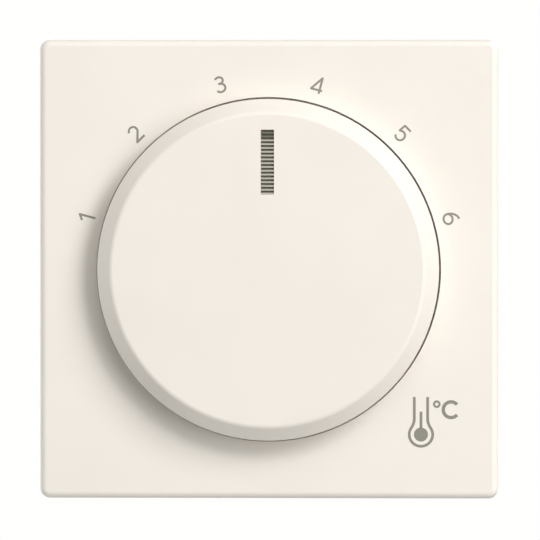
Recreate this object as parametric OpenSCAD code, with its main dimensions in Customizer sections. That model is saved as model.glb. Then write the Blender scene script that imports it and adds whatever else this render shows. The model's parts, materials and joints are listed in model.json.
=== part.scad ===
// Room thermostat for a 60 mm wall box: square cover plate with a large round dial, and a bimetal
// switch behind it. Every module works in the device frame (x right, y up, z out of the wall, wall
// surface at z = 0); the last lines turn it so that up is +Z and the front faces -Y.

/* [Cover plate] */
// Width and height of the square cover plate
plate_w = 70; // [69.5:0.5:76]
// Height of the plate's front face above the wall
plate_front = 9.5; // [9:0.5:11]
// Gap between the wall and the plate's rear edge
plate_back = 1.6; // [1.2:0.1:1.8]
// Thickness of the plate's side walls
plate_wall = 1.6; // [1.5:0.1:2]
// Radius of the plate's corners, seen from the front
plate_corner_r = 1.5; // [1.1:0.1:1.5]
// Radius of the rounding round the front face
plate_edge_r = 1; // [0.4:0.1:1]

/* [Dial] */
// Radius of the dial
dial_r = 26; // [25.5:0.05:26.5]
// Height of the dial above the plate's face
dial_h = 6; // [5.5:0.5:7]
// Width of the bevel round the dial's face, seen from the front
bevel_w = 2.1; // [1.5:0.1:3]
// Height of that bevel
bevel_h = 2.2; // [1.5:0.1:3]
// Radius that softens the edge between the bevel and the face
bevel_round = 1; // [0.4:0.05:1.2]
// Gap all round between the dial and its recess
dial_gap = 0.3; // [0.2:0.05:0.4]
// Turn of the dial from the middle to either end of the scale, in degrees
dial_turn = 75; // [60:1:75]

/* [Pointer] */
// Width of the pointer bar
pointer_w = 1.96; // [1.5:0.02:2.4]
// Length of the pointer bar
pointer_l = 9.8; // [8:0.1:10]
// Distance from the dial's centre to the middle of the pointer
pointer_mid = 16.4; // [16:0.1:17]
// Number of ribs across the pointer
pointer_ribs = 17; // [12:1:20]

/* [Support ring] */
// Width of the square steel ring
ring_w = 69; // [67:0.5:69.5]
// Thickness of the ring's sheet
ring_t = 1; // [0.8:0.1:1]
// Distance between opposite wall-box screws
screw_pitch = 60; // [60:1:61]
// Radius of the ends of the screw slots
slot_r = 1.8; // [1.7:0.1:2]
// Length of the screw slots, end to end
slot_l = 6; // [5:0.5:6]

/* [Housing] */
// Width of the housing that sits in the wall box
base_w = 50; // [49.5:0.1:50.4]
// Radius that rounds the housing's corners to fit the box
base_r = 28.6; // [28.4:0.1:28.8]
// Depth of the housing behind the wall surface
base_depth = 27; // [27:0.5:32]
// Thickness of the housing's walls
base_wall = 1.6; // [1.4:0.1:1.8]

/* [Setting mechanism] */
// Radius of the spindle
spindle_r = 3; // [2.9:0.05:3.1]
// Radial clearance of a running fit
run_gap = 0.05; // [0.02:0.01:0.08]
// Radius of the cam at the middle setting
cam_r = 6.8; // [6.6:0.1:6.9]
// Rise of the cam from the middle of the scale to its end
cam_rise = 1.2; // [0.9:0.1:1.2]

/* [Terminals] */
// Distance between neighbouring terminals
terminal_pitch = 9.4; // [9:0.1:9.5]
// Radius of each wire entry in the brass cages
wire_r = 1.6; // [1.3:0.1:1.7]

/* [Hidden] */
$fn = 64;
e = 0.5; // overrun of a cutter past the face that it opens

// Levels along the device's axis
face_t = 1.8;                          // thickness of the plate's front wall
recess_floor = plate_front - 1.5;      // floor of the dial's recess
recess_under = recess_floor - 1.6;     // underside of that floor
cover_front = ring_t + 1.5;            // front of the housing cover
base_floor = -base_depth + 1.8;        // inside of the housing's rear wall
carrier_top = -10.4;
carrier_t = 1.6;
lever_z = [-8.5, -3.5];                // lowest and highest level of the adjusting lever
strip_z = [-9.5, -3.5];                // the same for the bimetal strip and the contact arm
mech_z = -6.3;                         // level of the contacts and the push stud
spring_z = -1.6;                       // level of the range spring, above the bimetal strip
dial_top = plate_front + dial_h;
dial_foot = recess_floor + 0.35;
dial_ceiling = dial_top - 1.6;
recess_r = dial_r + dial_gap;

// Limit stops between the dial and the plate
stop_in = 12.5;                        // inner radius of the lower-limit ring
stop_w = 2.1;                          // radial width of each limit ring
stop_split = 0.2;                      // gap between the two rings
lug_half = 4;                          // half angles of the plate's lug and of a ring's tab
tab_half = 3.5;
tab_at = dial_turn + lug_half + tab_half + 0.3;

// Setting mechanism, seen from the front
lever_pin = [-12.5, 15.5];
arm_pin = [14.5, -15.5];
pin_r = 1;
nose_r = 1.5;
nose_gap = 0.12;                       // play between the cam and the lever's nose
spring_y = -11;
eye_r = 0.6;                           // holes that the spring hooks into
eye_z = [spring_z - 0.4, spring_z + 0.4];
lever_x = lever_pin[0];
arm_x = arm_pin[0];
strip_x = 10;                          // middle of the bimetal strip
strip_t = 0.7;
arm_t = 0.8;
contact_y = 6;
stud_y = 13;
contact_face = arm_x - arm_t / 2 - 0.9;
fixed_face = contact_face - 0.04;
bar_x = fixed_face - 0.75;             // right face of the load busbar's riser

// Terminals
terminal_x = [for (i = [-1.5 : 1 : 1.5]) i * terminal_pitch];
terminal_y = -17;
cage = [6, 7, 9];
cage_top = base_floor + 0.6 + cage[2];
screw_level = cage_top - cage[2] / 2;
screw_seat = 0.6;                      // from a cage's underside to the seat of its screw
foot_t = 0.8;                          // thickness of the busbars
boss_at = 18.5;                        // housing screws, from the middle
ring_screw_at = 22.3;                  // screws between housing cover and support ring
carrier_post = [[-20, 7], [20.3, -7]];

// ---------- shared shapes ----------

function arc(cx, cy, r, from, to, steps) =
    [for (i = [0 : steps]) let (a = from + (to - from) * i / steps) [cx + r * cos(a), cy + r * sin(a)]];

function rounded_points(w, h, r, steps = 6) = concat(
    arc(w / 2 - r, h / 2 - r, r, 0, 90, steps), arc(r - w / 2, h / 2 - r, r, 90, 180, steps),
    arc(r - w / 2, r - h / 2, r, 180, 270, steps), arc(w / 2 - r, r - h / 2, r, 270, 360, steps));

module box(x, y, z) {
    translate([x[0], y[0], z[0]])
        cube([x[1] - x[0], y[1] - y[0], z[1] - z[0]]);
}

module rod(r, z, at = [0, 0]) {
    translate([at[0], at[1], z[0]])
        cylinder(r = r, h = z[1] - z[0]);
}

module ring(r_in, r_out, z, at = [0, 0]) {
    difference() {
        rod(r_out, z, at);
        rod(r_in, [z[0] - e, z[1] + e], at);
    }
}

// A rod along x from x0 to x1
module rod_x(r, x0, x1, y, z) {
    translate([x0, y, z])
        rotate([0, 90, 0])
            cylinder(r = r, h = x1 - x0);
}

module copies4() {
    for (a = [0 : 90 : 270])
        rotate([0, 0, a])
            children();
}

// Pan-head screw along -z with its seat at the origin and a cross recess
module screw(head_r, head_h, shank_r, length) {
    difference() {
        union() {
            cylinder(r = head_r, h = head_h);
            translate([0, 0, -length])
                cylinder(r = shank_r, h = length + e);
        }
        for (a = [0, 90])
            rotate([0, 0, a])
                translate([-head_r * 0.6, -head_r * 0.13, head_h * 0.4])
                    cube([head_r * 1.2, head_r * 0.26, head_h]);
    }
}

// Box plug whose lower edges are chamfered
module chamfered_plug(w, r, z, chamfer) {
    intersection() {
        box_plug(w, r, z);
        translate([0, 0, z[0]])
            cylinder(r1 = r - chamfer, r2 = r + z[1] - z[0] - chamfer, h = z[1] - z[0]);
        chamfered_prism(w, z, chamfer);
    }
}

// Square prism whose lower edges are chamfered at 45 degrees
module chamfered_prism(w, z, chamfer) {
    h = z[1] - z[0];
    half = w / 2;
    intersection_for (a = [0, 90])
        rotate([0, 0, a])
            translate([0, half, z[0]])
                rotate([90, 0, 0])
                    linear_extrude(height = w)
                        polygon([[chamfer - half, 0], [half - chamfer, 0], [half, chamfer], [half, h],
                            [-half, h], [-half, chamfer]]);
}

// Square with corners rounded to a circle, as a box that fits a round wall box
module box_plug(w, r, z) {
    intersection() {
        box([-w / 2, w / 2], [-w / 2, w / 2], z);
        rod(r, z);
    }
}

// Slot along x through a sheet, with true round ends
module slot(length, r, z) {
    for (side = [-1, 1])
        rod(r, z, [side * (length / 2 - r), 0]);
    box([r - length / 2, length / 2 - r], [-r, r], z);
}

// ---------- fixed parts ----------

module plate_edge_profile() {
    h = plate_front - plate_back;
    polygon(concat(
        [[0, 0], [plate_corner_r, 0]],
        arc(plate_corner_r - plate_edge_r, h - plate_edge_r, plate_edge_r, 0, 90, 10),
        [[0, h]]));
}

module plate_blank() {
    inner = plate_w / 2 - plate_corner_r;
    box([-inner, inner], [-inner, inner], [plate_back, plate_front]);
    translate([0, 0, plate_back])
        copies4() {
            translate([inner, 0, 0])
                rotate([90, 0, 0])
                    linear_extrude(height = 2 * inner, center = true)
                        plate_edge_profile();
            translate([inner, inner, 0])
                rotate_extrude(angle = 90)
                    plate_edge_profile();
        }
}

module cover_plate() {
    cavity = plate_w / 2 - plate_wall;
    vent_count = 13;
    vent_pitch = 4;
    color("ivory")
    difference() {
        union() {
            difference() {
                plate_blank();
                box([-cavity, cavity], [-cavity, cavity], [plate_back - e, plate_front - face_t]);
            }
            rod(recess_r + 1.6, [recess_under, plate_front - face_t / 2]);
            // legs that locate the plate in the support ring
            for (x = [-22, 22], y = [-31.5, 31.5])
                translate([x, y, 0])
                    box([-2.1, 2.1], [-0.8, 0.8], [0.3, plate_front - face_t + 0.1]);
        }
        difference() {
            rod(recess_r, [recess_floor, plate_front + e]);
            // lug that the limit rings stop against
            intersection() {
                ring(stop_in, stop_in + 2 * stop_w + stop_split, [recess_floor - e, recess_floor + 2.2]);
                linear_extrude(height = plate_front + 2)
                    polygon([[0, 0], 25 * [-tan(lug_half), -1], 25 * [tan(lug_half), -1]]);
            }
        }
        rod(5.2, [recess_under - e, recess_floor + e]);
        rod(1.7, [recess_under - e, recess_floor + e], [0, -9.5]);
        // air slots in the upper and lower side walls
        for (side = [-1, 1], i = [0 : vent_count - 1])
            translate([(i - (vent_count - 1) / 2) * vent_pitch, side * plate_w / 2, 0])
                box([-0.9, 0.9], [-2.5, 2.5], [plate_back - e, plate_back + 3]);
    }
}

module cover_screw() {
    color("silver")
    translate([0, -9.5, recess_floor])
        screw(2.75, 1.7, 1.2, 6);
}

module support_ring() {
    sheet = [-e, ring_t + e];
    color("gainsboro")
    difference() {
        linear_extrude(height = ring_t)
            polygon(rounded_points(ring_w, ring_w, 4));
        box_plug(base_w + 0.4, base_r + 0.2, sheet);
        copies4()
            rod(1.02, sheet, [ring_screw_at, ring_screw_at]);
        copies4()
            translate([screw_pitch / 2, 0, 0])
                slot(slot_l, slot_r, sheet);
        for (x = [-22, 22], y = [-31.5, 31.5])
            translate([x, y, 0])
                box([-2.5, 2.5], [-1.2, 1.2], sheet);
        // notches that line up neighbouring devices
        copies4()
            for (y = [-12, 12])
                box([ring_w / 2 - 1.2, ring_w / 2 + e], [y - 1.5, y + 1.5], sheet);
    }
}

module ring_screws() {
    color("silver")
    copies4()
        translate([ring_screw_at, ring_screw_at, cover_front])
            screw(1.9, 1.3, 1, cover_front - 0.1);
}

module housing_base() {
    inside_w = base_w - 2 * base_wall;
    inside_r = base_r - base_wall;
    color("whitesmoke")
    difference() {
        union() {
            // gauge for the length of bared wire
            box([-4.5, 4.5], [-10.6, -9.8], [-base_depth - 0.4, -base_depth + e]);
            difference() {
                chamfered_plug(base_w, base_r, [-base_depth, ring_t], 0.9);
                box_plug(inside_w, inside_r, [base_floor, ring_t + e]);
            }
            intersection() {
                box_plug(base_w - 0.4, base_r - 0.2, [base_floor - e, ring_t]);
                union() {
                    // bosses for the housing screws; the lower two stand clear of the terminals
                    for (x = [-1, 1]) {
                        rod(2.4, [base_floor - e, -1], [x * boss_at, boss_at]);
                        rod(2.4, [-12, -1], [x * boss_at, -boss_at]);
                    }
                    for (p = carrier_post)
                        rod(2.2, [base_floor - e, carrier_top - carrier_t], p);
                    // terminal compartment: partition and ribs between the cages
                    box([-23.6, 23.6], [-12.2, -11], [base_floor - e, -15.8]);
                    for (i = [-1 : 1])
                        box([i * terminal_pitch - 0.6, i * terminal_pitch + 0.6], [-23.6, -12],
                            [base_floor - e, -17]);
                }
            }
        }
        for (x = [-1, 1], y = [-1, 1])
            rod(1.02, [-11, 2], [x * boss_at, y * boss_at]);
        for (p = carrier_post)
            rod(0.8, [-20, -11], p);
        // blank field for a rating label
        box([-17, 17], [-2, 15], [-base_depth - e, -base_depth + 0.3]);
        for (x = terminal_x) {
            rod(2.4, [-base_depth - e, base_floor + e], [x, terminal_y]);
            // lead-in for the wire
            translate([x, terminal_y, -base_depth - e])
                cylinder(r1 = 2.4 + 0.7 + e, r2 = 2.4, h = 0.7 + e);
            translate([x, -base_w / 2 - e, screw_level])
                rotate([-90, 0, 0])
                    cylinder(r = 2.6, h = base_wall + 3);
        }
        // ventilation slots beside the bimetal
        for (y = [-6 : 4 : 14])
            box([base_w / 2 - base_wall - e, base_w / 2 + e], [y, y + 1.6], [-9.6, -4.2]);
    }
}

module housing_cover() {
    color("whitesmoke")
    difference() {
        union() {
            linear_extrude(height = 1.5)
                polygon(rounded_points(54, 54, 9));
            rod(5, [0, 4.5]);
            rod(3, [0, recess_under - ring_t], [0, -9.5]);
            // rim that locates the cover in the housing
            difference() {
                box_plug(base_w - 2 * base_wall - 0.4, base_r - base_wall - 0.2, [-1.8, 0.5]);
                box_plug(base_w - 2 * base_wall - 2.8, base_r - base_wall - 1.4, [-1.8 - e, 0]);
            }
        }
        rod(spindle_r + run_gap, [-e, 5]);
        rod(1.22, [-e, recess_under], [0, -9.5]);
        for (x = [-1, 1], y = [-1, 1]) {
            rod(2.9, [-2.5, 0], [x * boss_at, y * boss_at]);
            rod(1.4, [-e, 2], [x * boss_at, y * boss_at]);
            rod(1.15, [-e, 2], [x * ring_screw_at, y * ring_screw_at]);
        }
        for (side = [-1, 1], i = [0 : 4])
            box(side > 0 ? [8.5 + 2.8 * i, 9.9 + 2.8 * i] : [-9.9 - 2.8 * i, -8.5 - 2.8 * i],
                [-9, 13], [-e, 2]);
    }
}

module housing_screws() {
    color("silver")
    for (x = [-1, 1], y = [-1, 1])
        translate([x * boss_at, y * boss_at, cover_front])
            screw(2.3, 1.5, 1, 9.5);
}

module mechanism_carrier() {
    level = [carrier_top - carrier_t, carrier_top];
    through = [level[0] - e, level[1] + e];
    color("dimgray")
    difference() {
        union() {
            box_plug(46.2, 26.7, level);
            rod(3.6, [level[0], -9], [0, 0]);
            rod(2.3, [level[0], lever_z[0] - 0.1], lever_pin);
            // holder for the magnet
            box([10.9, 13.5], [-7.6, -0.4], [carrier_top - e, -7.9]);
            box([10.9, 13.5], [-7.6, -6.6], [carrier_top - e, -3.2]);
            box([10.9, 13.5], [-1.4, -0.4], [carrier_top - e, -3.2]);
            // stop for the opened contact arm
            rod(0.8, [carrier_top - e, -4], [16.6, stud_y + 1]);
        }
        rod(2 + run_gap, [level[0] - e, 0]);
        rod(pin_r + 0.01, [level[0] - e, 0], lever_pin);
        rod(pin_r + 0.01, through, arm_pin);
        for (x = [-1, 1], y = [-1, 1])
            rod(2.8, through, [x * boss_at, y * boss_at]);
        for (p = carrier_post)
            rod(1.1, through, p);
        // slots for the busbars and holes for the resistor leads
        box([bar_x - foot_t - 0.15, bar_x + 0.15], [contact_y - 3.2, contact_y + 3.2], through);
        box([16.65, 17.75], [-15.8, -12.4], through);
        box([-5.2, -4.2], [-18.4, -12.8], through);
        box([-14.6, -13.6], [-18.3, -15.3], through);
        rod(0.6, through, [6.9, -15.5]);
    }
}

module carrier_screws() {
    color("silver")
    for (p = carrier_post)
        translate([p[0], p[1], carrier_top])
            screw(1.8, 1.2, 0.75, 7);
}

module terminal_cages() {
    color("gold")
    for (x = terminal_x)
        difference() {
            translate([x - cage[0] / 2, terminal_y - cage[1] / 2, cage_top - cage[2]])
                cube(cage);
            rod(wire_r, [cage_top - cage[2] - e, cage_top + e], [x, terminal_y]);
            translate([x, terminal_y - cage[1] / 2 - e, screw_level])
                rotate([-90, 0, 0])
                    cylinder(r = 1.3, h = cage[1] / 2);
        }
}

module terminal_screws() {
    color("silver")
    for (x = terminal_x)
        translate([x, terminal_y - cage[1] / 2 - screw_seat, screw_level])
            rotate([90, 0, 0])
                screw(2.3, 1.8, 1.25, cage[1] / 2 + screw_seat - wire_r - 0.15);
}

// Foot of a busbar on top of a terminal cage
module busbar_foot(x) {
    box([x - 2.5, x + 2.5], [terminal_y - 3, terminal_y + 4], [cage_top, cage_top + foot_t]);
}

module line_busbar() {
    color("goldenrod")
    difference() {
        union() {
            busbar_foot(terminal_x[3]);
            box([terminal_x[3], 17.6], [-15.6, -12.6], [cage_top, cage_top + foot_t]);
            box([16.8, 17.6], [-15.6, -12.6], [cage_top, carrier_top + foot_t]);
            box([arm_pin[0], 17.6], [-15.6, -12.6], [carrier_top, carrier_top + foot_t]);
            rod(1.9, [carrier_top, carrier_top + foot_t], arm_pin);
        }
        rod(pin_r + 0.01, [carrier_top - e, carrier_top + 2], arm_pin);
    }
}

module load_busbar() {
    under = [cage_top, cage_top + foot_t];
    color("goldenrod") {
        busbar_foot(terminal_x[2]);
        box([3.2, 6.2], [terminal_y + 3, contact_y + 3], under);
        box([3.2, bar_x], [contact_y - 3, contact_y + 3], under);
        box([bar_x - foot_t, bar_x], [contact_y - 3, contact_y + 3], [cage_top, -3]);
    }
}

module neutral_busbar() {
    color("goldenrod") {
        busbar_foot(terminal_x[1]);
        box([-5.1, -4.3], [-18.3, -13], [cage_top, -8.5]);
    }
}

module setback_busbar() {
    color("goldenrod") {
        busbar_foot(terminal_x[0]);
        box([-14.5, -13.7], [-18.2, -15.4], [cage_top, -8.5]);
    }
}

// Contact rivet with a slightly domed face towards +x
module contact_rivet(x0, x1) {
    rod_x(1.5, x0, x1 - 0.2, contact_y, mech_z);
    rod_x(1.2, x1 - 0.3, x1, contact_y, mech_z);
}

module fixed_contact() {
    color("silver")
    contact_rivet(bar_x, fixed_face);
}

module snap_magnet() {
    color("gray")
    box([11, 13.3], [-6.55, -1.45], [-7.85, -3.4]);
}

module bimetal_bracket() {
    slack = 0.15;
    jaw = 1.1;
    color("goldenrod")
    difference() {
        union() {
            box([strip_x - strip_t / 2 - slack - jaw, strip_x - strip_t / 2 - slack],
                [-19.6, -15.6], [carrier_top, -3.4]);
            box([strip_x + strip_t / 2 + slack, strip_x + strip_t / 2 + slack + jaw],
                [-19.6, -15.6], [carrier_top, -3.4]);
            box([strip_x - 1.6, strip_x + 1.6], [-19.6, -15.6], [carrier_top, carrier_top + 0.8]);
        }
        rod_x(0.85, strip_x - 3, strip_x + 3, -17.8, mech_z);
    }
}

module bimetal_rivet() {
    half = strip_t / 2 + 0.15 + 1.1;
    color("silver") {
        rod_x(0.8, strip_x - half - 0.1, strip_x + half + 0.1, -17.8, mech_z);
        rod_x(1.4, strip_x - half - 0.6, strip_x - half, -17.8, mech_z);
        rod_x(1.4, strip_x + half, strip_x + half + 0.6, -17.8, mech_z);
    }
}

// Axial resistor between x0 and x1 with leads down to two levels
module resistor(x_left, x0, x1, x_right, y, left_level, right_level) {
    lead_r = 0.3;
    rod_x(1.1, x0 + 0.4, x1 - 0.4, y, -7);
    for (x = [x0, x1 - 1.4])
        rod_x(1.3, x, x + 1.4, y, -7);
    rod_x(lead_r, x_left, x0 + e, y, -7);
    rod_x(lead_r, x1 - e, x_right, y, -7);
    translate([x_left, y, -7])
        sphere(r = lead_r);
    translate([x_right, y, -7])
        sphere(r = lead_r);
    rod(lead_r, [left_level, -7], [x_left, y]);
    rod(lead_r, [right_level, -7], [x_right, y]);
}

module feedback_resistor() {
    color("tan")
    resistor(-3.9, -1.8, 4.7, 6.9, -15.5, -9, cage_top + foot_t);
}

module setback_resistor() {
    color("tan")
    resistor(-13.35, -11.8, -5.7, -3.9, -17.9, -9, -9);
}

module lever_pivot_pin() {
    color("silver")
    rod(pin_r, [carrier_top - carrier_t, -2.4], lever_pin);
}

module arm_pivot_pin() {
    color("silver")
    rod(pin_r, [carrier_top - carrier_t, -2], arm_pin);
}

module drag_washer() {
    color("silver")
    ring(spindle_r + 0.25, 4.4, [0.62, 0.98]);
}

// ---------- dial ----------

module dial_profile() {
    wall = 1.6;
    rim_round = 0.15;
    face_r = dial_r - bevel_w;
    slope = atan2(bevel_h, bevel_w);
    rim_top = dial_top - bevel_h;
    polygon(concat(
        [[0, dial_ceiling], [face_r - wall, dial_ceiling], [dial_r - wall, rim_top - 0.6],
            [dial_r - wall, dial_foot], [dial_r, dial_foot]],
        arc(dial_r - rim_round, rim_top - rim_round * tan(45 - slope / 2), rim_round, 0, 90 - slope, 4),
        arc(face_r - bevel_round * tan(slope / 2), dial_top - bevel_round, bevel_round,
            90 - slope, 90, 8),
        [[0, dial_top]]));
}

module dial() {
    color("ivory")
    difference() {
        union() {
            rotate_extrude()
                dial_profile();
            rod(5.5, [recess_floor + 0.6, dial_ceiling + 0.4]);
            // rib that holds the limit rings, and spokes outside them
            ring(11.4, stop_in - 0.15, [dial_ceiling - 1.2, dial_ceiling + 0.2]);
            for (a = [0 : 30 : 330])
                rotate([0, 0, a + 15])
                    box([17.6, dial_r - bevel_w - 1.6], [-0.4, 0.4], [dial_ceiling - 1, dial_ceiling + 0.2]);
        }
        // D-shaped bore for the spindle
        difference() {
            rod(spindle_r + 0.04, [recess_floor - e, dial_top - 2]);
            box([-4, 4], [spindle_r - 0.96, 5], [recess_floor - e, dial_top]);
        }
        // pocket for the pointer
        box([-pointer_w / 2 - 0.02, pointer_w / 2 + 0.02],
            [pointer_mid - pointer_l / 2 - 0.02, pointer_mid + pointer_l / 2 + 0.02],
            [dial_top - 1, dial_top + e]);
    }
}

module pointer_insert() {
    pitch = pointer_l / pointer_ribs;
    ridge = 0.45;                      // share of the pitch that stands proud
    depth = 0.35;
    top = dial_top - 0.08;
    steps = [for (i = [0 : pointer_ribs - 1], k = [0 : 3])
        [pitch * (i + (k < 2 ? 0 : ridge)), top - (k == 0 || k == 3 ? depth : 0)]];
    color("gray")
    translate([-pointer_w / 2, pointer_mid - pointer_l / 2, 0])
        rotate([90, 0, 90])
            linear_extrude(height = pointer_w)
                polygon(concat([[0, dial_top - 0.98]], steps,
                    [[pointer_l, top - depth], [pointer_l, dial_top - 0.98]]));
}

// Limit ring with a stop tab; at is the tab's angle
module limit_ring(r_in, at) {
    r_out = r_in + stop_w;
    top = dial_ceiling - 0.02;
    difference() {
        union() {
            ring(r_in, r_out, [top - 1.3, top]);
            intersection() {
                ring(r_in, r_out, [recess_floor + 0.5, top]);
                rotate([0, 0, at])
                    linear_extrude(height = dial_top)
                        polygon([[0, 0], 25 * [1, -tan(tab_half)], 25 * [1, tan(tab_half)]]);
            }
        }
        // notches that index the ring
        for (a = [0 : 15 : 345])
            rotate([0, 0, at + a + 7.5])
                rod(0.3, [top - 1.3 - e, top + e], [r_in, 0]);
    }
}

module min_limit_ring() {
    color("steelblue")
    limit_ring(stop_in, -90 - tab_at);
}

module max_limit_ring() {
    color("firebrick")
    limit_ring(stop_in + stop_w + stop_split, -90 + tab_at);
}

module hub_grip_spring() {
    color("silver")
    difference() {
        ring(5.52, 6.2, [recess_floor + 1.2, recess_floor + 2.4]);
        box([-0.8, 0.8], [4, 8], [recess_floor, recess_floor + 4]);
    }
}

module spindle() {
    color("lightgray")
    difference() {
        union() {
            rod(spindle_r, [0, dial_top - 2.3]);
            rod(4.4, [-1, 0.6]);
            rod(2.5, [-7.5, -0.5]);
            rod(2, [-12, -7]);
        }
        box([-4, 4], [spindle_r - 1, 5], [recess_floor + 0.3, dial_top]);
        box([-4, 4], [1.6, 5], [-7.5, -1]);
        ring(2.4, 4, [5.55, 6.2]);
    }
}

module spindle_clip() {
    color("silver")
    difference() {
        rod(4.5, [5.6, 6.15]);
        rod(2.42, [5, 7]);
        box([-1.9, 1.9], [-5, 0], [5, 7]);
    }
}

// Spiral cam: its radius grows with the angle over the working sector, measured from -x
function cam_radius(a) = cam_r + cam_rise * max(-1, min(1, a / dial_turn));

module setpoint_cam() {
    sector = dial_turn + 24;
    back = cam_r - cam_rise - 0.4;
    color("white")
    difference() {
        translate([0, 0, -7.5])
            linear_extrude(height = 4)
                polygon(concat(
                    [for (a = [-sector : 3 : sector]) cam_radius(a) * [cos(180 + a), sin(180 + a)]],
                    arc(0, 0, back, 180 + sector + 12, 540 - sector - 12, 24)));
        difference() {
            rod(2.52, [-9, 0]);
            box([-4, 4], [1.62, 5], [-9, 0]);
        }
    }
}

// ---------- adjusting lever ----------

module adjusting_lever() {
    nose_x = -(cam_r + nose_gap + nose_r);
    color("olive")
    difference() {
        union() {
            rod(2.3, lever_z, lever_pin);
            box([lever_x - 1.2, lever_x + 1.2], [spring_y, lever_pin[1]], lever_z);
            box([lever_x, nose_x], [-1.2, 1.2], lever_z);
            rod(nose_r, lever_z, [nose_x, 0]);
            box([lever_x - 2, lever_x + 2], [spring_y - 2, spring_y + 2], [lever_z[0], spring_z + 1.8]);
        }
        rod(pin_r + run_gap, [-10, -2], lever_pin);
        rod_x(1, lever_x - 3, lever_x + 3, spring_y, spring_z);
    }
}

module calibration_screw() {
    color("gold")
    difference() {
        union() {
            rod_x(0.98, lever_x - 4, lever_x + 3.6, spring_y, spring_z);
            rod_x(1.8, lever_x - 4.8, lever_x - 3.4, spring_y, spring_z);
            rod(eye_r * 2, eye_z, [lever_x + 4.3, spring_y]);
        }
        rod(eye_r, [eye_z[0] - e, eye_z[1] + e], [lever_x + 4.3, spring_y]);
        box([lever_x - 5.2, lever_x - 4.2], [spring_y - 3, spring_y + 3],
            [spring_z - 0.25, spring_z + 0.25]);
    }
}

// Extension spring with a hook at each end, as one swept wire
hook_at = [lever_x + 5.15, arm_x - 2.25]; // middles of the two hooks' turns
hook_r = 0.8;
coil_r = 1.2;
wire_rad = 0.2;
coil_turns = 18;
coil_x = [hook_at[0] + 1.25, hook_at[1] - 1.25];

function coil_point(t) = [coil_x[0] + (coil_x[1] - coil_x[0]) * t / coil_turns,
    coil_r * sin(360 * t), coil_r * cos(360 * t)];
function hook_point(x, a) = [x + hook_r * cos(a), 0, hook_r * sin(a)];
spring_path = concat(
    [for (a = [250 : -40 : 50]) hook_point(hook_at[0], a)],
    [for (i = [0 : coil_turns * 9]) coil_point(i / 9)],
    [for (a = [130 : -40 : -70]) hook_point(hook_at[1], a)]);

function unit(v) = v / norm(v);
function tangent(path, i) = unit(path[min(i + 1, len(path) - 1)] - path[max(i - 1, 0)]);

// Tube of the given radius and number of sides along a path, with its rings turned to the path
module swept_wire(path, r, sides) {
    last = len(path) - 1;
    points = [for (i = [0 : last]) let (
            t = tangent(path, i),
            u = unit(cross(t, abs(t[2]) < 0.8 ? [0, 0, 1] : [1, 0, 0])),
            v = cross(t, u))
        for (k = [0 : sides - 1]) path[i] + r * (cos(360 * k / sides) * u + sin(360 * k / sides) * v)];
    walls = [for (i = [0 : last - 1], k = [0 : sides - 1]) let (n = (k + 1) % sides)
        [i * sides + k, i * sides + n, (i + 1) * sides + n, (i + 1) * sides + k]];
    ends = [[for (k = [sides - 1 : -1 : 0]) k], [for (k = [0 : sides - 1]) last * sides + k]];
    polyhedron(points = points, faces = concat(walls, ends));
}

module range_spring() {
    color("silver")
    translate([0, spring_y, spring_z])
        swept_wire(spring_path, wire_rad, 6);
}

// ---------- contact arm and bimetal ----------

module contact_arm() {
    color("goldenrod")
    difference() {
        union() {
            box([arm_x - arm_t / 2, arm_x + arm_t / 2], [arm_pin[1], 16.4], strip_z);
            rod(1.9, strip_z, arm_pin);
            // stiffening flange at the free end
            box([arm_x - arm_t / 2, arm_x + 1.1], [15.4, 16.4], strip_z);
            // bent lug that the spring hooks into
            box([arm_x - arm_t / 2, arm_x + arm_t / 2], [spring_y - 1.2, spring_y + 1.2],
                [strip_z[0], eye_z[1]]);
            box([arm_x - 1.4, arm_x], [spring_y - 1.2, spring_y + 1.2], eye_z);
            rod(eye_r * 2, eye_z, [arm_x - 1.4, spring_y]);
        }
        rod(pin_r + run_gap, [-10, -2], arm_pin);
        rod(eye_r, [eye_z[0] - e, eye_z[1] + e], [arm_x - 1.4, spring_y]);
    }
}

module moving_contact() {
    color("silver")
    mirror([1, 0, 0])
        contact_rivet(-(arm_x - arm_t / 2), -contact_face);
}

module bimetal_strip() {
    color("darkkhaki")
    difference() {
        box([strip_x - strip_t / 2, strip_x + strip_t / 2], [-19.4, 15], strip_z);
        rod_x(1, strip_x - 2, strip_x + 2, -17.8, mech_z);
    }
}

module push_stud() {
    color("white") {
        rod_x(1.1, strip_x + strip_t / 2, arm_x - arm_t / 2 - 0.15, stud_y, mech_z);
        rod_x(1.8, strip_x + strip_t / 2, strip_x + strip_t / 2 + 0.6, stud_y, mech_z);
    }
}

// ---------- the part, turned upright ----------

rotate([90, 0, 0]) {
    cover_plate();
    cover_screw();
    support_ring();
    ring_screws();
    housing_base();
    translate([0, 0, ring_t]) housing_cover();
    housing_screws();
    mechanism_carrier();
    carrier_screws();
    terminal_cages();
    terminal_screws();
    line_busbar();
    load_busbar();
    neutral_busbar();
    setback_busbar();
    fixed_contact();
    snap_magnet();
    bimetal_bracket();
    bimetal_rivet();
    feedback_resistor();
    setback_resistor();
    lever_pivot_pin();
    arm_pivot_pin();
    drag_washer();
    dial();
    pointer_insert();
    min_limit_ring();
    max_limit_ring();
    hub_grip_spring();
    spindle();
    spindle_clip();
    setpoint_cam();
    adjusting_lever();
    calibration_screw();
    range_spring();
    contact_arm();
    moving_contact();
    bimetal_strip();
    push_stud();
}
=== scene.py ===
"""Looks of a flush-mounted room thermostat: a square cover plate with a large round dial, and the
housing, support ring and switch mechanism behind it. Metres, +Z up, the front faces -Y."""
import json
import math

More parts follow.
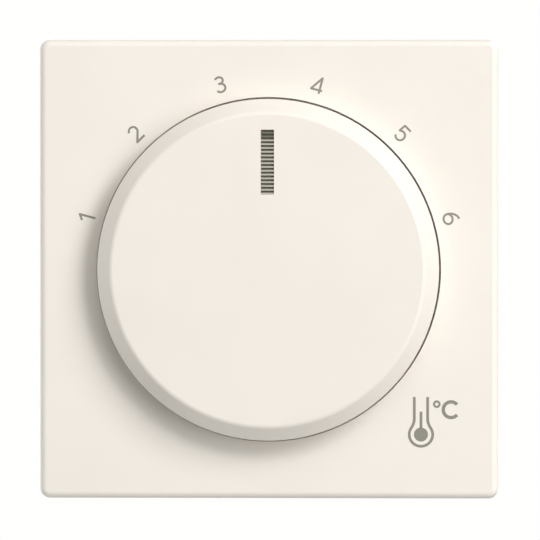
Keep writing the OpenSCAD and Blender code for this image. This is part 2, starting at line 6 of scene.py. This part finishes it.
import bmesh
import bpy
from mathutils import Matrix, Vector


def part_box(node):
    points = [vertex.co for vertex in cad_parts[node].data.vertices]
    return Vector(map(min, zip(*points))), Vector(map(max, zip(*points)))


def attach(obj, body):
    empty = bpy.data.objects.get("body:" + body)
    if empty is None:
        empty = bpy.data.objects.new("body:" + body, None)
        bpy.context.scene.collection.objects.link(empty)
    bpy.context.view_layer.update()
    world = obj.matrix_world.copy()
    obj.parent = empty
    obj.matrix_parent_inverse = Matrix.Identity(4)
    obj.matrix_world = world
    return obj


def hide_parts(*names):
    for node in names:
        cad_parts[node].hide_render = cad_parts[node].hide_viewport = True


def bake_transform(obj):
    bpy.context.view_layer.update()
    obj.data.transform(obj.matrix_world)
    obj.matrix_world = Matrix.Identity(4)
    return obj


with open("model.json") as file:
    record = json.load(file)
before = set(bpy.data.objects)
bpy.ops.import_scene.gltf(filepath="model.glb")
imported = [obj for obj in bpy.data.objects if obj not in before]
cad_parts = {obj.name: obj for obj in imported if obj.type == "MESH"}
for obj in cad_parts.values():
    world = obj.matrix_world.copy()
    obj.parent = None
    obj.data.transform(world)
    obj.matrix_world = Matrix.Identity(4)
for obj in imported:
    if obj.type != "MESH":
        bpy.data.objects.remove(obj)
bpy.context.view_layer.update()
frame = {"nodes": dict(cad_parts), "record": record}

MM = 0.001
nodes = frame["nodes"]

# Driving dimensions, from the frame
plate_lo, plate_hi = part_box("cover_plate")
pointer_lo, pointer_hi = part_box("pointer_insert")
PLATE_W = plate_hi.x - plate_lo.x
PLATE_FRONT = plate_lo.y               # y of the plate's face


# ---------- camera, world and lights ----------

VIEW_RIGHT = math.radians(1.9)         # the camera stands a little to the right of the dial's axis
VIEW_UP = math.radians(1.3)            # and a little above it
VIEW_DISTANCE = 1.0
SENSOR = 36.0
FRAME_OVER_PLATE = 1.1775              # width of the view over the width of the plate
AIM = Vector((0.2 * MM, PLATE_FRONT, -0.1 * MM))   # what the camera and the lights point at
WARM = (1.0, 0.99, 0.974)              # colour of the lights in front
COOL = (0.98, 0.99, 1.0)               # and of those behind
FAR = 1.6                              # distance of the lights behind, metres


def direction(right, up):
    """Unit vector from the object towards a place in front of it, to the right and up by these angles."""
    return Vector((math.sin(right) * math.cos(up), -math.cos(right) * math.cos(up), math.sin(up)))


def make_camera():
    data = bpy.data.cameras.new("camera")
    data.sensor_width = SENSOR
    data.lens = SENSOR * VIEW_DISTANCE / (PLATE_W * FRAME_OVER_PLATE)
    camera = bpy.data.objects.new("camera", data)
    back = direction(VIEW_RIGHT, VIEW_UP)
    camera.location = AIM + back * VIEW_DISTANCE
    camera.rotation_mode = "QUATERNION"
    camera.rotation_quaternion = (-back).to_track_quat("-Z", "Y")
    bpy.context.scene.collection.objects.link(camera)
    bpy.context.scene.camera = camera


def make_world():
    """Near-white behind the object, and a dimmer warm white that lights it."""
    world = bpy.data.worlds.new("studio")
    world.use_nodes = True
    tree = world.node_tree
    tree.nodes.clear()
    seen = tree.nodes.new("ShaderNodeBackground")
    seen.inputs["Color"].default_value = (1.0, 1.0, 0.985, 1)
    seen.inputs["Strength"].default_value = 1.0
    fill = tree.nodes.new("ShaderNodeBackground")
    fill.inputs["Color"].default_value = (0.99, 1.0, 0.94, 1)
    fill.inputs["Strength"].default_value = 0.29
    path = tree.nodes.new("ShaderNodeLightPath")
    mix = tree.nodes.new("ShaderNodeMixShader")
    out = tree.nodes.new("ShaderNodeOutputWorld")
    tree.links.new(path.outputs["Is Camera Ray"], mix.inputs["Fac"])
    tree.links.new(fill.outputs[0], mix.inputs[1])
    tree.links.new(seen.outputs[0], mix.inputs[2])
    tree.links.new(mix.outputs[0], out.inputs["Surface"])
    bpy.context.scene.world = world


def area_light(name, around, off, width, power, colour, distance=1.2):
    """A round light off the plate's normal by one angle and round it by another (0 right, 90 up).

    width is the angle it fills as seen from the plate. Angles in degrees, power in watts.
    """
    around, off = math.radians(around), math.radians(off)
    towards = Vector((math.sin(off) * math.cos(around), -math.cos(off), math.sin(off) * math.sin(around)))
    data = bpy.data.lights.new(name, "AREA")
    data.shape = "DISK"
    data.size = 2 * distance * math.tan(math.radians(width / 2))
    data.energy = power
    data.color = colour
    lamp = bpy.data.objects.new(name, data)
    lamp.location = AIM + towards * distance
    lamp.rotation_mode = "QUATERNION"
    lamp.rotation_quaternion = (-towards).to_track_quat("-Z", "Y")
    bpy.context.scene.collection.objects.link(lamp)


def make_lights():
    area_light("key", 42, 49, 28, 9.6, WARM)
    area_light("key_right", 2, 38, 35, 4.8, WARM)
    area_light("key_top", 82, 46, 35, 3.5, WARM)
    area_light("rim_left", 186, 106, 60, 8.0, WARM)
    area_light("rim_low", 265, 84, 60, 2.6, WARM)
    area_light("rear_right", 35, 130, 45, 9.0, COOL, FAR)
    area_light("rear_left", 160, 140, 45, 6.0, COOL, FAR)
    area_light("rear_low", 250, 120, 45, 4.0, COOL, FAR)


# ---------- materials ----------

def principled(name):
    """A new material with only a Principled shader and an output."""
    mat = bpy.data.materials.new(name)
    mat.use_nodes = True
    tree = mat.node_tree
    tree.nodes.clear()
    shader = tree.nodes.new("ShaderNodeBsdfPrincipled")
    out = tree.nodes.new("ShaderNodeOutputMaterial")
    tree.links.new(shader.outputs["BSDF"], out.inputs["Surface"])
    return mat, tree, shader


def noise(tree, size, detail=3.0, stretch=(1, 1, 1), offset=0.0):
    """3-D noise in the object's own metres, with blobs about size across."""
    where = tree.nodes.new("ShaderNodeTexCoord")
    scale = tree.nodes.new("ShaderNodeMapping")
    scale.inputs["Scale"].default_value = stretch
    scale.inputs["Location"].default_value = (offset, offset, offset)
    tex = tree.nodes.new("ShaderNodeTexNoise")
    tex.inputs["Scale"].default_value = 1 / size
    tex.inputs["Detail"].default_value = detail
    tree.links.new(where.outputs["Object"], scale.inputs["Vector"])
    tree.links.new(scale.outputs["Vector"], tex.inputs["Vector"])
    return tex.outputs["Fac"]


def spread(tree, value, low, high):
    """The 0-1 value mapped to the range from low to high."""
    node = tree.nodes.new("ShaderNodeMapRange")
    node.inputs["From Min"].default_value = 0.3
    node.inputs["From Max"].default_value = 0.7
    node.inputs["To Min"].default_value = low
    node.inputs["To Max"].default_value = high
    tree.links.new(value, node.inputs["Value"])
    return node.outputs["Result"]


def blend_colours(tree, value, first, second):
    ramp = tree.nodes.new("ShaderNodeValToRGB")
    ramp.color_ramp.elements[0].position = 0.3
    ramp.color_ramp.elements[0].color = (*first, 1)
    ramp.color_ramp.elements[1].position = 0.7
    ramp.color_ramp.elements[1].color = (*second, 1)
    tree.links.new(value, ramp.inputs["Fac"])
    return ramp.outputs["Color"]


def bump(tree, shader, value, depth, strength=1.0):
    node = tree.nodes.new("ShaderNodeBump")
    node.inputs["Distance"].default_value = depth
    node.inputs["Strength"].default_value = strength
    tree.links.new(value, node.inputs["Height"])
    tree.links.new(node.outputs["Normal"], shader.inputs["Normal"])


def tint(colour, factor):
    return tuple(min(1.0, c * factor) for c in colour)


def moulded(name, colour, roughness, grain=0.00008, depth=0.000002, change=0.015, flow=0.012):
    """Injection-moulded plastic: a fine spark-eroded grain and faint flow clouds in the colour."""
    mat, tree, shader = principled(name)
    clouds = noise(tree, flow, 4.0)
    tree.links.new(
        blend_colours(tree, clouds, tint(colour, 1 - change), tint(colour, 1 + change)),
        shader.inputs["Base Color"])
    tree.links.new(
        spread(tree, noise(tree, flow / 3, 5.0, offset=3.0), roughness - 0.03, roughness + 0.03),
        shader.inputs["Roughness"])
    bump(tree, shader, noise(tree, grain, 2.0), depth, 0.6)
    return mat


def metal(name, colour, roughness, streak=(1, 1, 1), grain=0.0004, depth=0.000002, change=0.04):
    """Bare or plated metal with streaks along the direction in which the noise is stretched."""
    mat, tree, shader = principled(name)
    shader.inputs["Metallic"].default_value = 1.0
    patches = noise(tree, 0.004, 5.0)
    tree.links.new(
        blend_colours(tree, patches, tint(colour, 1 - change), tint(colour, 1 + change)),
        shader.inputs["Base Color"])
    fine = noise(tree, grain, 4.0, stretch=streak)
    tree.links.new(spread(tree, fine, roughness - 0.03, roughness + 0.05), shader.inputs["Roughness"])
    bump(tree, shader, fine, depth, 0.4)
    return mat


def ribbed(name, dark, light, ridge_y, valley_y, shade_z, roughness):
    """Dark insert with its ridges coloured light. Painted shade keeps the ridges above shade_z dark,
    standing in for the shadow that the pocket's top rim casts on them.
    """
    mat, tree, shader = principled(name)
    where = tree.nodes.new("ShaderNodeTexCoord")
    split = tree.nodes.new("ShaderNodeSeparateXYZ")
    tree.links.new(where.outputs["Object"], split.inputs["Vector"])
    height = ramp_between(tree, split.outputs["Y"], valley_y, ridge_y)
    # painted shade: dark above shade_z, for the shadow the pocket's top rim casts on the first ridges
    painted_shade = ramp_between(tree, split.outputs["Z"], shade_z + 0.1 * MM, shade_z - 0.1 * MM)
    ridges_without_painted_shade = tree.nodes.new("ShaderNodeMath")
    ridges_without_painted_shade.operation = "MULTIPLY"
    tree.links.new(height, ridges_without_painted_shade.inputs[0])
    tree.links.new(painted_shade, ridges_without_painted_shade.inputs[1])
    mix = tree.nodes.new("ShaderNodeMix")
    mix.data_type = "RGBA"
    mix.inputs["A"].default_value = (*dark, 1)
    mix.inputs["B"].default_value = (*light, 1)
    tree.links.new(ridges_without_painted_shade.outputs["Value"], mix.inputs["Factor"])
    tree.links.new(mix.outputs["Result"], shader.inputs["Base Color"])
    tree.links.new(
        spread(tree, noise(tree, 0.001, 3.0), roughness - 0.04, roughness + 0.04),
        shader.inputs["Roughness"])
    return mat


def ramp_between(tree, value, low, high):
    """0 where the value is at low, 1 where it is at high."""
    node = tree.nodes.new("ShaderNodeMapRange")
    node.inputs["From Min"].default_value = low
    node.inputs["From Max"].default_value = high
    tree.links.new(value, node.inputs["Value"])
    return node.outputs["Result"]


def ink(name, colour):
    """Pad-printed ink: flat, slightly uneven in density."""
    mat, tree, shader = principled(name)
    density = noise(tree, 0.0003, 3.0)
    tree.links.new(
        blend_colours(tree, density, tint(colour, 0.95), tint(colour, 1.06)), shader.inputs["Base Color"])
    shader.inputs["Roughness"].default_value = 0.5
    return mat


MATERIALS = {
    "cover_plastic": moulded("cover_plastic", (0.80, 0.757, 0.710), 0.46),
    "dial_plastic": moulded("dial_plastic", (0.80, 0.752, 0.700), 0.45),
    # the pointer's top 1.25 mm carries painted shade, for the shadow of its pocket's rim
    "pointer_plastic": ribbed("pointer_plastic", (0.15, 0.143, 0.11), (0.44, 0.42, 0.37),
                              pointer_lo.y + 0.02 * MM, pointer_lo.y + 0.2 * MM,
                              pointer_hi.z - 1.25 * MM, 0.4),
    "housing_plastic": moulded("housing_plastic", (0.72, 0.72, 0.7), 0.45, grain=0.00025, depth=0.00001),
    "carrier_plastic": moulded("carrier_plastic", (0.02, 0.02, 0.021), 0.5, grain=0.0002, depth=0.00001),
    "steel_sheet": metal("steel_sheet", (0.62, 0.63, 0.64), 0.32, streak=(1, 1, 0.05)),
    "plated_steel": metal("plated_steel", (0.66, 0.66, 0.65), 0.28),
    "spring_steel": metal("spring_steel", (0.5, 0.5, 0.52), 0.22),
    "brass": metal("brass", (0.78, 0.57, 0.27), 0.27),
    "contact_silver": metal("contact_silver", (0.86, 0.85, 0.82), 0.18),
    "bimetal_alloy": metal("bimetal_alloy", (0.5, 0.47, 0.41), 0.3, streak=(1, 1, 0.05)),
    "magnet_ferrite": metal("magnet_ferrite", (0.06, 0.06, 0.065), 0.5),
    "cam_plastic": moulded("cam_plastic", (0.85, 0.84, 0.79), 0.28),
    "lever_plastic": moulded("lever_plastic", (0.09, 0.1, 0.07), 0.45),
    "stud_ceramic": moulded("stud_ceramic", (0.78, 0.75, 0.66), 0.3),
    "resistor_body": moulded("resistor_body", (0.34, 0.2, 0.1), 0.25),
    "limit_red": moulded("limit_red", (0.5, 0.02, 0.015), 0.4),
    "limit_blue": moulded("limit_blue", (0.015, 0.06, 0.32), 0.4),
    "print_ink": ink("print_ink", (0.245, 0.235, 0.205)),
}


def dress_nodes():
    """Every CAD node gets its slot's material, soft shading and clean normals on its flats."""
    slots = {s["node"]: s["material_slot"] for s in frame["record"]["subparts"]}
    for name, obj in nodes.items():
        obj.data.materials.clear()
        obj.data.materials.append(MATERIALS[slots[name]])
        smooth(obj)


def smooth(obj, angle=40):
    for face in obj.data.polygons:
        face.use_smooth = True
    obj.data.set_sharp_from_angle(angle=math.radians(angle))
    if obj.modifiers.get("normals") is None:
        weigh = obj.modifiers.new("normals", "WEIGHTED_NORMAL")
        weigh.keep_sharp = True


# ---------- printing on the plate ----------

INK_HEIGHT = 0.01 * MM                 # how proud the ink stands
INK_STEP = 0.003 * MM                  # each further stroke of a sign lies this much higher
SCALE_R = 28.8 * MM                    # radius of the numerals' circle
SCALE_RISE = 0.35 * MM                 # the print sits this much above the dial's axis
NUMERAL_ANGLES = [-75, -45, -15, 15, 45, 75]
STROKE = 0.33                          # line width of a numeral, mm
NUMERAL_SIZE = 1.08                    # scale of the numerals' centre lines


def bow(cx, cy, rx, ry, start, end, steps=18):
    """Points on an elliptical arc, angles in degrees, counted anticlockwise from +x."""
    angles = [math.radians(start + (end - start) * i / steps) for i in range(steps + 1)]
    return [(cx + rx * math.cos(a), cy + ry * math.sin(a)) for a in angles]


# Centre lines of the numerals, in mm about each one's middle
NUMERALS = {
    "1": [[(-0.44, 0.56), (0.3, 1.08), (0.3, -1.2)]],
    "2": [bow(0, 0.44, 0.62, 0.62, 160, -40) + [(-0.66, -1.06), (0.76, -1.06)]],
    "3": [bow(0, 0.59, 0.57, 0.47, 150, -90) + [(-0.2, 0.12)],
          bow(0, -0.47, 0.66, 0.59, 90, -150)],
    "4": [[(0.47, -1.2), (0.47, 1.06), (-0.76, -0.72), (0.86, -0.72)]],
    "5": [[(0.66, 1.06), (-0.5, 1.06), (-0.57, 0.1)] + bow(0, -0.38, 0.66, 0.68, 128, -150)],
    "6": [bow(0.42, -0.42, 1.14, 1.5, 92, 180), bow(0, -0.43, 0.71, 0.63, 0, 360, 36)],
}


def unit(a, b):
    length = math.dist(a, b)
    return ((b[0] - a[0]) / length, (b[1] - a[1]) / length)


def runs(points, sharpest=50):
    """The path cut at its sharp corners, with the corners' points."""
    pieces, corners, current = [], [], [points[0]]
    for before, here, after in zip(points, points[1:], points[2:]):
        current.append(here)
        u, v = unit(before, here), unit(here, after)
        if u[0] * v[0] + u[1] * v[1] < math.cos(math.radians(sharpest)):
            pieces.append(current)
            corners.append(here)
            current = [here]
    pieces.append(current + [points[-1]])
    return pieces, corners


def ribbon(bm, points, half, rise=0):
    """Flat strip of ink along the points, in mm on the plate's face, rise times the ink's step higher."""
    top = -INK_HEIGHT - rise * INK_STEP
    loop = math.dist(points[0], points[-1]) < 1e-6
    line = points[:-1] if loop else points
    count = len(line)
    rows = []
    for i, (x, y) in enumerate(line):
        before = line[i - 1] if loop or i > 0 else None
        after = line[(i + 1) % count] if loop or i < count - 1 else None
        u = unit(before, (x, y)) if before else unit((x, y), after)
        v = unit((x, y), after) if after else u
        mid = ((u[0] + v[0]) / 2, (u[1] + v[1]) / 2)
        reach = half / (mid[0] ** 2 + mid[1] ** 2)
        side = (-mid[1] * reach, mid[0] * reach)
        row = []
        for sign, depth in ((1, INK_HEIGHT), (1, top), (-1, top), (-1, INK_HEIGHT)):
            row.append(bm.verts.new(((x + sign * side[0]) * MM, depth, (y + sign * side[1]) * MM)))
        rows.append(row)
    pairs = list(zip(rows, rows[1:])) + ([(rows[-1], rows[0])] if loop else [])
    for a, b in pairs:
        for k in range(4):
            n = (k + 1) % 4
            bm.faces.new((a[k], a[n], b[n], b[k]))
    if not loop:
        bm.faces.new(rows[0])
        bm.faces.new(rows[-1][::-1])


def dot(bm, x, y, radius, steps=32, rise=0):
    """Flat round dot of ink, in mm on the plate's face."""
    top = -INK_HEIGHT - rise * INK_STEP
    edge = [(x + radius * math.cos(math.tau * i / steps), y + radius * math.sin(math.tau * i / steps))
            for i in range(steps)]
    front = [bm.verts.new((px * MM, top, py * MM)) for px, py in edge]
    back = [bm.verts.new((px * MM, INK_HEIGHT, py * MM)) for px, py in edge]
    bm.faces.new(front)
    bm.faces.new(back[::-1])
    for i in range(steps):
        k = (i + 1) % steps
        bm.faces.new((front[i], back[i], back[k], front[k]))


def stroke_mesh(name, paths, width):
    """Ink lines of one width along the paths, with round joins at their sharp corners."""
    mesh = bpy.data.meshes.new(name)
    bm = bmesh.new()
    rise = 0
    for points in paths:
        pieces, corners = runs(points)
        for piece in pieces:
            ribbon(bm, piece, width / 2, rise)
            rise += 1
        for x, y in corners:
            dot(bm, x, y, width / 2, 16, rise)
            rise += 1
    bmesh.ops.recalc_face_normals(bm, faces=bm.faces)
    bm.to_mesh(mesh)
    bm.free()
    return mesh


def ink_piece(name, mesh, x, z, turn=0.0):
    """Puts ink on the plate's face at x, z in metres, turned clockwise by an angle in radians."""
    obj = bpy.data.objects.new(name, mesh)
    bpy.context.scene.collection.objects.link(obj)
    obj.rotation_euler = (0, turn, 0)
    obj.location = (x, PLATE_FRONT, z)
    mesh.materials.clear()
    mesh.materials.append(MATERIALS["print_ink"])
    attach(obj, "insert")
    return obj


def make_scale():
    for (name, paths), angle in zip(NUMERALS.items(), NUMERAL_ANGLES):
        a = math.radians(angle)
        sized = [[(NUMERAL_SIZE * x, NUMERAL_SIZE * y) for x, y in points] for points in paths]
        ink_piece("numeral_" + name, stroke_mesh("numeral_" + name, sized, STROKE),
                  SCALE_R * math.sin(a), SCALE_RISE + SCALE_R * math.cos(a), a)


# Temperature symbol: a thermometer, and a degree sign with its unit letter
BULB_AT = (23.25, -25.2)               # middle of the bulb, mm from the dial's axis
TUBE_HALF = 1.015
TUBE_TOP = 5.74                        # above the bulb's middle
NECK_UP = 2.46                         # where the tube starts to widen
BULB_RING = 1.79
BULB_R = 1.07
COLUMN_TOP = 3.5
COLUMN_OVERLAP = 0.04                  # the column starts this far inside the bulb
SYMBOL_STROKE = 0.42
DEGREE_AT = (2.41, 4.64)               # from the bulb's middle
DEGREE_R = 0.42
DEGREE_STROKE = 0.33
LETTER_AT = (4.6, 3.8)
LETTER_R = 1.2
LETTER_STROKE = 0.52
LETTER_OPENING = 41                    # half of the gap in the letter's ring, degrees


def make_symbol():
    neck_r = (NECK_UP ** 2 + TUBE_HALF ** 2 - BULB_RING ** 2) / (2 * (BULB_RING - TUBE_HALF))
    join = math.degrees(math.atan2(NECK_UP, TUBE_HALF + neck_r))
    right = [(TUBE_HALF, TUBE_TOP)] + bow(TUBE_HALF + neck_r, NECK_UP, neck_r, neck_r, 180, 180 + join, 8)
    left = [(-x, y) for x, y in reversed(right)]
    ring = bow(0, 0, BULB_RING, BULB_RING, join, -180 - join, 36)
    outline = right + ring[1:-1] + left
    mesh = stroke_mesh("thermometer_outline", [outline], SYMBOL_STROKE)
    x, z = BULB_AT[0] * MM, BULB_AT[1] * MM
    ink_piece("thermometer_outline", mesh, x, z)
    column = [(0, BULB_R - COLUMN_OVERLAP), (0, COLUMN_TOP)]
    ink_piece("thermometer_column", stroke_mesh("thermometer_column", [column], SYMBOL_STROKE), x, z)
    ink_piece("thermometer_bulb", dot_mesh("thermometer_bulb", BULB_R), x, z)
    circle = bow(0, 0, DEGREE_R, DEGREE_R, 0, 360, 32)
    ink_piece("degree_sign", stroke_mesh("degree_sign", [circle], DEGREE_STROKE),
              x + DEGREE_AT[0] * MM, z + DEGREE_AT[1] * MM)
    letter = bow(0, 0, LETTER_R, LETTER_R, LETTER_OPENING, 360 - LETTER_OPENING, 40)
    ink_piece("unit_letter", stroke_mesh("unit_letter", [letter], LETTER_STROKE),
              x + LETTER_AT[0] * MM, z + LETTER_AT[1] * MM)


def dot_mesh(name, radius):
    mesh = bpy.data.meshes.new(name)
    bm = bmesh.new()
    dot(bm, 0, 0, radius, 64)
    bmesh.ops.recalc_face_normals(bm, faces=bm.faces)
    bm.to_mesh(mesh)
    bm.free()
    return mesh


# ---------- range spring ----------

SPRING_WIRE = 0.2 * MM
SPRING_HOOK_R = 0.8 * MM
SPRING_TURNS = 18
HOOK_TO_COIL = 1.25 * MM               # from the middle of a hook to the first turn


def make_spring():
    """The wound spring between the adjusting lever and the contact arm, built in one fixed shape; the
    real one stretches as the lever swings."""
    lo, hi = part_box("range_spring")
    middle = (lo + hi) / 2
    coil_r = (hi.z - lo.z) / 2 - SPRING_WIRE
    left = lo.x + SPRING_WIRE + SPRING_HOOK_R
    right = hi.x - SPRING_WIRE - SPRING_HOOK_R
    first, last = left + HOOK_TO_COIL, right - HOOK_TO_COIL
    points = [hook_point(left, middle, a) for a in range(250, 40, -20)]
    steps = SPRING_TURNS * 20
    for i in range(steps + 1):
        turn = math.tau * SPRING_TURNS * i / steps
        points.append(Vector((first + (last - first) * i / steps,
                              middle.y - coil_r * math.cos(turn),
                              middle.z + coil_r * math.sin(turn))))
    points += [hook_point(right, middle, a) for a in range(130, -80, -20)]
    spring = bpy.data.objects.new("wound_spring", wire_mesh("wound_spring", points, SPRING_WIRE))
    bpy.context.scene.collection.objects.link(spring)
    spring.data.materials.append(MATERIALS["spring_steel"])
    smooth(spring)
    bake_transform(spring)
    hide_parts("range_spring")


def hook_point(x, middle, degrees):
    a = math.radians(degrees)
    return Vector((x + SPRING_HOOK_R * math.cos(a), middle.y - SPRING_HOOK_R * math.sin(a), middle.z))


def wire_mesh(name, points, radius):
    """Round wire along the points."""
    curve = bpy.data.curves.new(name + "_line", "CURVE")
    curve.dimensions = "3D"
    curve.bevel_depth = radius
    curve.bevel_resolution = 2
    curve.use_fill_caps = True
    spline = curve.splines.new("POLY")
    spline.points.add(len(points) - 1)
    for slot, point in zip(spline.points, points):
        slot.co = (*point, 1)
    wire = bpy.data.objects.new(name + "_line", curve)
    bpy.context.scene.collection.objects.link(wire)
    mesh = bpy.data.meshes.new_from_object(wire.evaluated_get(bpy.context.evaluated_depsgraph_get()))
    bpy.data.objects.remove(wire)
    mesh.name = name
    return mesh


# ---------- the scene ----------

bpy.context.scene.view_settings.view_transform = "Standard"
make_camera()
make_world()
make_lights()
dress_nodes()
make_scale()
make_symbol()
make_spring()
